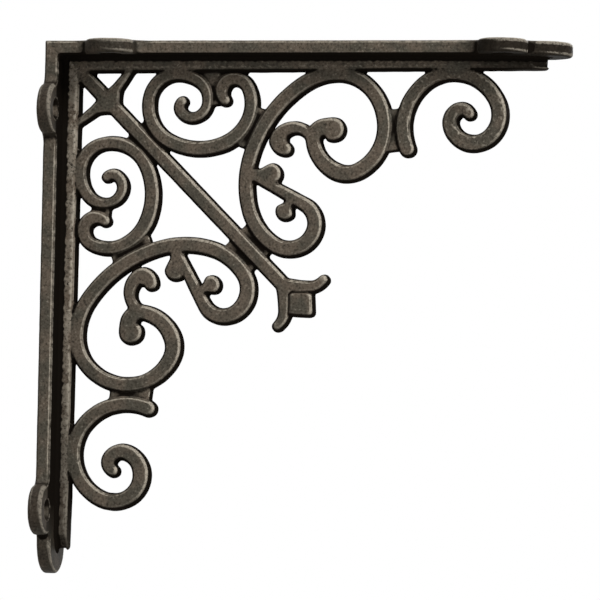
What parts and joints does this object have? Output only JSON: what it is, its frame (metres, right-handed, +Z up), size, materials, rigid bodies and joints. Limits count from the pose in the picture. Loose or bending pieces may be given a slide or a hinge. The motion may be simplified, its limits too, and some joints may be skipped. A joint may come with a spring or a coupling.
{
  "type": "shelf bracket",
  "caption": "Cast iron shelf bracket: two flanges at a right angle with screw ears, joined by a diagonal bar and open scrollwork.",
  "frame": {"origin": "outer corner where the wall face, the shelf face and the middle plane of the scrollwork meet", "axes": "+X away from the wall along the shelf, +Z up, Y along the wall; the wall face lies in X = 0 and the shelf face in Z = 0"},
  "size_m": [0.2016, 0.0404, 0.2016],
  "materials": {
    "antique_iron": "dark bronze-brown antique finish over a sand-cast skin, slightly worn on the edges"
  },
  "bodies": {
    "root": {"wall_flange": "antique_iron", "shelf_flange": "antique_iron", "wall_rib": "antique_iron", "shelf_rib": "antique_iron", "diagonal_bar": "antique_iron", "finial_bud": "antique_iron", "upper_corner_scroll": "antique_iron", "upper_middle_scroll": "antique_iron", "upper_end_scroll": "antique_iron", "upper_leaf_bulb": "antique_iron", "upper_leaf_sprig": "antique_iron", "upper_twig": "antique_iron", "upper_twig_bud": "antique_iron", "upper_loop_bud": "antique_iron", "upper_petal": "antique_iron", "upper_thorn": "antique_iron", "upper_corner_web": "antique_iron", "upper_loop_web": "antique_iron", "upper_arm_web": "antique_iron", "upper_scroll_tie": "antique_iron", "upper_hook_tie": "antique_iron", "lower_corner_scroll": "antique_iron", "lower_middle_scroll": "antique_iron", "lower_end_scroll": "antique_iron", "lower_leaf_bulb": "antique_iron", "lower_leaf_sprig": "antique_iron", "lower_twig": "antique_iron", "lower_twig_bud": "antique_iron", "lower_loop_bud": "antique_iron", "lower_petal": "antique_iron", "lower_thorn": "antique_iron", "lower_corner_web": "antique_iron", "lower_loop_web": "antique_iron", "lower_arm_web": "antique_iron", "lower_scroll_tie": "antique_iron", "lower_hook_tie": "antique_iron", "upper_hook_web": "antique_iron"}
  },
  "joints": []
}
